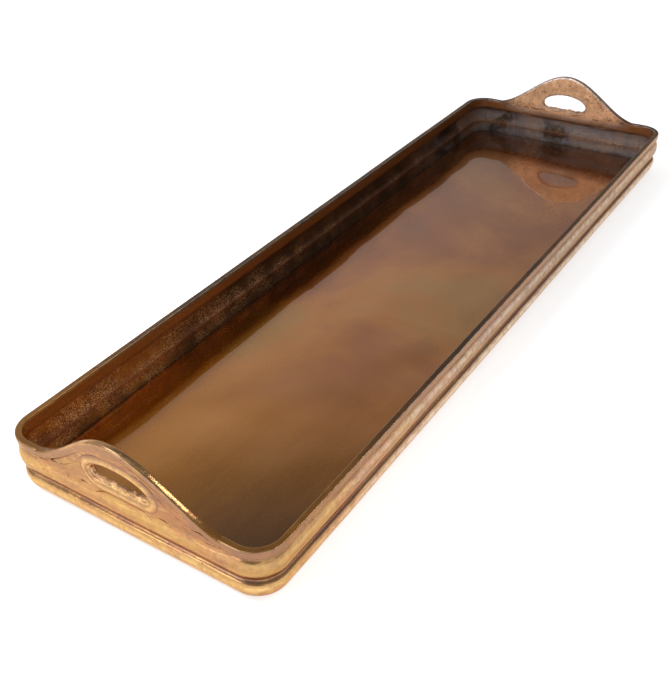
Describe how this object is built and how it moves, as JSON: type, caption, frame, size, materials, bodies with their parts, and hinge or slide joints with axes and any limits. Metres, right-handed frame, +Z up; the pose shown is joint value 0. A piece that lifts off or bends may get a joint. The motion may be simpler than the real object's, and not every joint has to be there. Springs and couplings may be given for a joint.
{
  "type": "serving tray",
  "caption": "Long narrow brass serving tray with rounded corners, a low banded wall and an arched handle with a finger slot at each end.",
  "frame": {"origin": "middle of the underside, on the plane the felt pads stand on", "axes": "+X along the tray towards the front handle, +Y to the tray's left side, +Z up out of the tray"},
  "size_m": [0.8332, 0.2604, 0.0968],
  "materials": {
    "end_brass": "polished sand-cast brass with a brown patina in the creases",
    "rail_brass": "sand-cast brass, polished outside, dark grained patina inside",
    "floor_brass": "smooth sheet under mottled brown patina and clear gloss lacquer",
    "bar_brass": "plain drawn bar, dull",
    "felt": "dark pressed felt"
  },
  "bodies": {
    "root": {"end_casting_front": "end_brass", "end_casting_rear": "end_brass", "side_rail_left": "rail_brass", "side_rail_right": "rail_brass", "floor_plate": "floor_brass", "floor_tie_bar": "bar_brass", "felt_pad_front_left": "felt", "felt_pad_front_right": "felt", "felt_pad_middle_left": "felt", "felt_pad_middle_right": "felt", "felt_pad_rear_left": "felt", "felt_pad_rear_right": "felt"}
  },
  "joints": []
}
